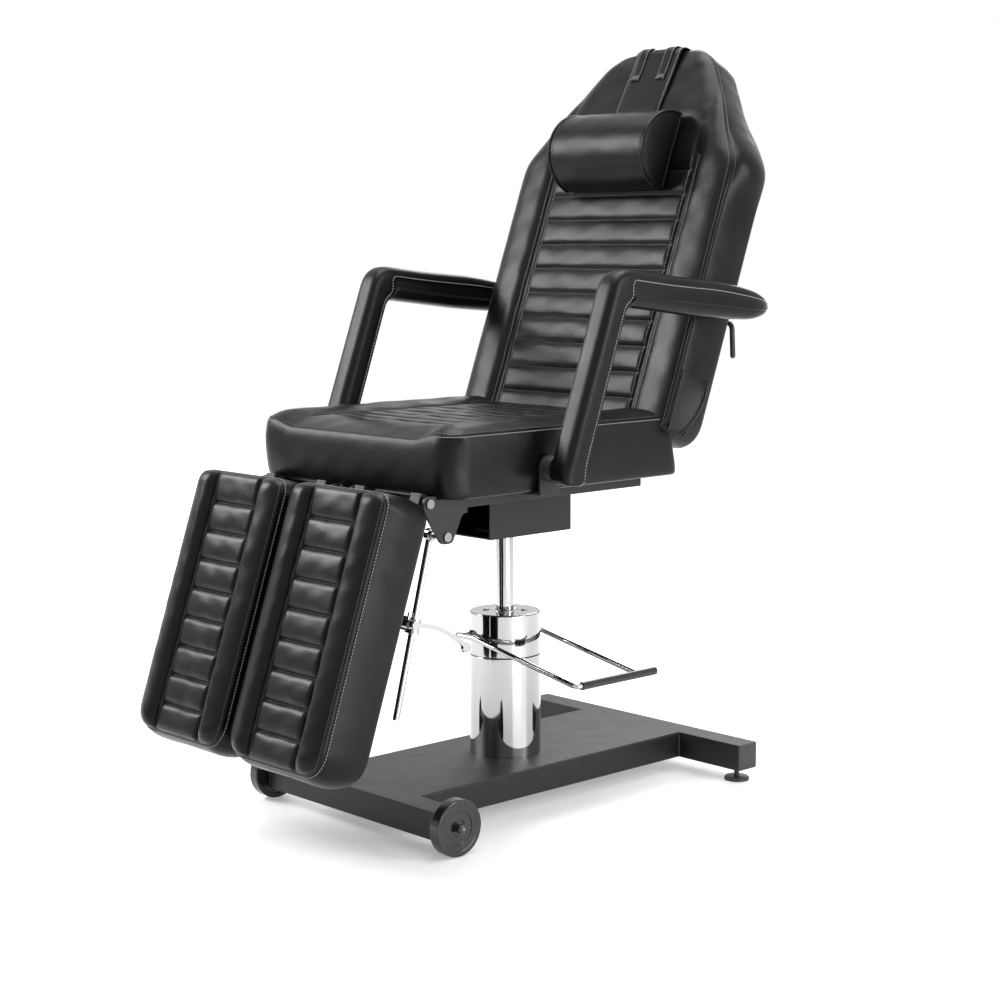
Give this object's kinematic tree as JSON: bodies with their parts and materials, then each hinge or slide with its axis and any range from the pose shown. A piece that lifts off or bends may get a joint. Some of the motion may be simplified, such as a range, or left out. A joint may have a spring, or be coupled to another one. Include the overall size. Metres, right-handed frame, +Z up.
{
  "type": "tattoo chair",
  "caption": "Padded hydraulic tattoo chair with split leg rests, reclining back, head pillow and folding arms on a wheeled steel base.",
  "frame": {"origin": "on the floor under the middle of the chair's bounding box at rest", "axes": "+Z up, the sitter faces -Y, +X is the sitter's left"},
  "size_m": [0.698, 1.1558, 1.4177],
  "materials": {
    "frame_paint": "satin black powder coat",
    "pump_chrome": "mirror chrome",
    "pump_steel": "turned steel",
    "fastener_steel": "zinc plated",
    "black_plastic": "matte black",
    "wheel_rubber": "black",
    "plywood": "raw plywood",
    "leather": "black satin grain",
    "strut_black": "gloss black",
    "strut_steel": "ground"
  },
  "bodies": {
    "base": {"front_crossbar": "frame_paint", "rear_crossbar": "frame_paint", "base_side_rails": "frame_paint", "base_top_plate": "frame_paint", "tube_end_caps": "black_plastic", "axle_bolts": "fastener_steel", "axle_nuts": "fastener_steel", "foot_lock_nuts": "fastener_steel", "pump_cover": "pump_chrome", "pump_cap": "pump_chrome", "pump_cap_screws": "fastener_steel", "pump_barrel": "pump_steel", "guide_bush": "pump_steel"},
    "wheel_left": {"wheel_left": "wheel_rubber"},
    "wheel_right": {"wheel_right": "wheel_rubber"},
    "foot_left": {"foot_left": "black_plastic"},
    "foot_right": {"foot_right": "black_plastic"},
    "plunger": {"pump_plunger": "pump_steel"},
    "pedal": {"pedal_loop": "pump_chrome", "pedal_grip": "black_plastic"},
    "ram": {"lift_ram": "pump_chrome"},
    "seat": {"swivel_hub": "frame_paint", "under_seat_box": "frame_paint", "seat_rails": "frame_paint", "seat_cross_members": "frame_paint", "seat_board": "plywood", "seat_cushion": "leather", "leg_hinge_brackets": "frame_paint", "leg_bracket_rivets": "fastener_steel", "back_hinge_ears": "frame_paint", "back_hinge_pins": "fastener_steel", "arm_brackets": "frame_paint", "arm_hubs": "fastener_steel"},
    "back": {"back_frame": "frame_paint", "back_board": "plywood", "back_cushion": "leather", "side_pocket": "leather", "pillow_strap": "leather"},
    "recline_lever": {"recline_lever": "frame_paint"},
    "pillow": {"head_pillow": "leather"},
    "strut_tube": {"recline_strut_tube": "strut_black"},
    "strut_rod": {"recline_strut_rod": "strut_steel"},
    "leg_left": {"leg_frame_left": "frame_paint"},
    "leg_pad_left": {"leg_slide_left": "frame_paint", "leg_board_left": "plywood", "leg_pad_left": "leather"},
    "clamp_left": {"strut_clamp_left": "pump_chrome"},
    "clamp_lever_left": {"clamp_lever_left": "pump_chrome"},
    "leg_rod_left": {"strut_rod_left": "pump_chrome"},
    "arm_left": {"arm_core_left": "frame_paint", "arm_cover_left": "leather"},
    "leg_right": {"leg_frame_right": "frame_paint"},
    "leg_pad_right": {"leg_slide_right": "frame_paint", "leg_board_right": "plywood", "leg_pad_right": "leather"},
    "clamp_right": {"strut_clamp_right": "pump_chrome"},
    "clamp_lever_right": {"clamp_lever_right": "pump_chrome"},
    "leg_rod_right": {"strut_rod_right": "pump_chrome"},
    "arm_right": {"arm_core_right": "frame_paint", "arm_cover_right": "leather"}
  },
  "joints": [
    {"name": "lift", "type": "slide", "parent": "base", "child": "ram", "axis": [0, 0, 1], "range_m": [-0.14, 0]},
    {"name": "swivel", "type": "hinge", "parent": "ram", "child": "seat", "pos_m": [0, 0.0741, 0.52], "axis": [0, 0, 1], "continuous": true},
    {"name": "pedal_rock", "type": "hinge", "parent": "base", "child": "pedal", "pos_m": [-0.053, 0.0741, 0.302], "axis": [0, 1, 0], "range_deg": [0, 14], "stiffness_Nm_per_rad": 25, "springref_deg": -6.88},
    {"name": "plunger_stroke", "type": "slide", "parent": "base", "child": "plunger", "axis": [0, 0, 1], "range_m": [-0.0023, 0]},
    {"name": "back_recline", "type": "hinge", "parent": "seat", "child": "back", "pos_m": [0, 0.2861, 0.63], "axis": [-1, 0, 0], "range_deg": [0, 69.4]},
    {"name": "recline_lever_pull", "type": "hinge", "parent": "back", "child": "recline_lever", "pos_m": [0, 0.42773, 0.88464], "axis": [1, 0, 0], "range_deg": [0, 25], "stiffness_Nm_per_rad": 2, "springref_deg": -5.73},
    {"name": "pillow_slide", "type": "slide", "parent": "back", "child": "pillow", "axis": [0, 0.3518, 0.9361], "range_m": [-0.08, 0]},
    {"name": "strut_tube_turn", "type": "hinge", "parent": "seat", "child": "strut_tube", "pos_m": [0, 0.2491, 0.565], "axis": [-1, 0, 0], "range_deg": [-0.2, 44.49]},
    {"name": "strut_rod_slide", "type": "slide", "parent": "strut_tube", "child": "strut_rod", "axis": [0, 0.6481, 0.7615], "range_m": [-0.04768, 0]},
    {"name": "leg_left_raise", "type": "hinge", "parent": "seat", "child": "leg_left", "pos_m": [0, -0.3099, 0.605], "axis": [-1, 0, 0], "range_deg": [0, 71.1]},
    {"name": "leg_left_extend", "type": "slide", "parent": "leg_left", "child": "leg_pad_left", "axis": [0, -0.3239, -0.9461], "range_m": [0, 0.16]},
    {"name": "clamp_left_turn", "type": "hinge", "parent": "leg_left", "child": "clamp_left", "pos_m": [0, -0.31109, 0.3945], "axis": [-1, 0, 0], "range_deg": [0, 2.73]},
    {"name": "leg_rod_left_slide", "type": "slide", "parent": "clamp_left", "child": "leg_rod_left", "axis": [0, -0.2512, -0.9679], "range_m": [-0.08195, 0]},
    {"name": "clamp_lever_left_turn", "type": "hinge", "parent": "clamp_left", "child": "clamp_lever_left", "pos_m": [0, -0.32464, 0.39802], "axis": [1, 0, 0], "range_deg": [0, 35]},
    {"name": "arm_left_fold", "type": "hinge", "parent": "seat", "child": "arm_left", "pos_m": [0, -0.0779, 0.65], "axis": [-1, 0, 0], "range_deg": [0, 75]},
    {"name": "wheel_left_roll", "type": "hinge", "parent": "base", "child": "wheel_left", "pos_m": [0, -0.2819, 0.05], "axis": [1, 0, 0], "continuous": true},
    {"name": "foot_left_turn", "type": "hinge", "parent": "base", "child": "foot_left", "pos_m": [0.263, 0.4431, 0.02], "axis": [0, 0, 1], "continuous": true},
    {"name": "leg_right_raise", "type": "hinge", "parent": "seat", "child": "leg_right", "pos_m": [0, -0.3099, 0.605], "axis": [-1, 0, 0], "range_deg": [0, 71.1]},
    {"name": "leg_right_extend", "type": "slide", "parent": "leg_right", "child": "leg_pad_right", "axis": [0, -0.3239, -0.9461], "range_m": [0, 0.16]},
    {"name": "clamp_right_turn", "type": "hinge", "parent": "leg_right", "child": "clamp_right", "pos_m": [0, -0.31109, 0.3945], "axis": [-1, 0, 0], "range_deg": [0, 2.73]},
    {"name": "leg_rod_right_slide", "type": "slide", "parent": "clamp_right", "child": "leg_rod_right", "axis": [0, -0.2512, -0.9679], "range_m": [-0.08195, 0]},
    {"name": "clamp_lever_right_turn", "type": "hinge", "parent": "clamp_right", "child": "clamp_lever_right", "pos_m": [0, -0.32464, 0.39802], "axis": [1, 0, 0], "range_deg": [0, 35]},
    {"name": "arm_right_fold", "type": "hinge", "parent": "seat", "child": "arm_right", "pos_m": [0, -0.0779, 0.65], "axis": [-1, 0, 0], "range_deg": [0, 75]},
    {"name": "wheel_right_roll", "type": "hinge", "parent": "base", "child": "wheel_right", "pos_m": [0, -0.2819, 0.05], "axis": [1, 0, 0], "continuous": true},
    {"name": "foot_right_turn", "type": "hinge", "parent": "base", "child": "foot_right", "pos_m": [-0.263, 0.4431, 0.02], "axis": [0, 0, 1], "continuous": true}
  ],
  "couplings": [
    {"joint": "plunger_stroke", "follows": "pedal_rock", "m_per_rad": -0.009},
    {"joint": "strut_tube_turn", "follows": "back_recline", "ratio": 0.63824},
    {"joint": "strut_rod_slide", "follows": "back_recline", "m_per_rad": -0.03912},
    {"joint": "clamp_left_turn", "follows": "leg_left_raise", "ratio": 0.035553},
    {"joint": "leg_rod_left_slide", "follows": "leg_left_raise", "m_per_rad": -0.065801},
    {"joint": "clamp_right_turn", "follows": "leg_right_raise", "ratio": 0.035553},
    {"joint": "leg_rod_right_slide", "follows": "leg_right_raise", "m_per_rad": -0.065801}
  ]
}
